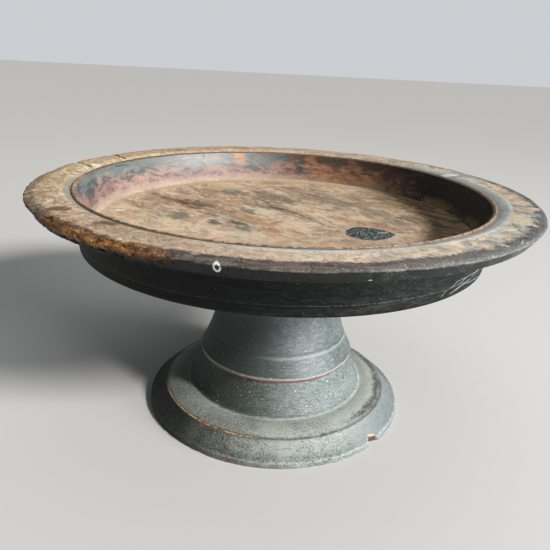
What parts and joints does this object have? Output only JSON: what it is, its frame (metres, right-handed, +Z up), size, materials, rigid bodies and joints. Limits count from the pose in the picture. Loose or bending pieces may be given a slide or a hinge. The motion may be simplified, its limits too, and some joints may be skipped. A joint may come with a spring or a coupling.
{
  "type": "pedestal dish",
  "caption": "Turned and lacquered wooden dish with a wide rim and raised lip on a trumpet stem and a stepped spreading foot.",
  "frame": {"origin": "on the turning axis, at the level that the foot stands on", "axes": "+Z up along the turning axis; -Y towards the camera of the picture, +X to its right"},
  "size_m": [0.46, 0.46, 0.2247],
  "materials": {
    "black_lacquer": "matt, dusty black lacquer",
    "worn_wood": "bare worn wood with remains of black lacquer",
    "dark_filler": "matt speckled lacquer filler",
    "bamboo": "plain split bamboo"
  },
  "bodies": {
    "root": {"foot": "black_lacquer", "stem": "black_lacquer", "dish": "worn_wood", "floor_patch": "dark_filler", "neck_dowel_1": "bamboo", "neck_dowel_2": "bamboo", "neck_dowel_3": "bamboo", "collar_peg_1": "bamboo", "collar_peg_2": "bamboo", "collar_peg_3": "bamboo"}
  },
  "joints": []
}
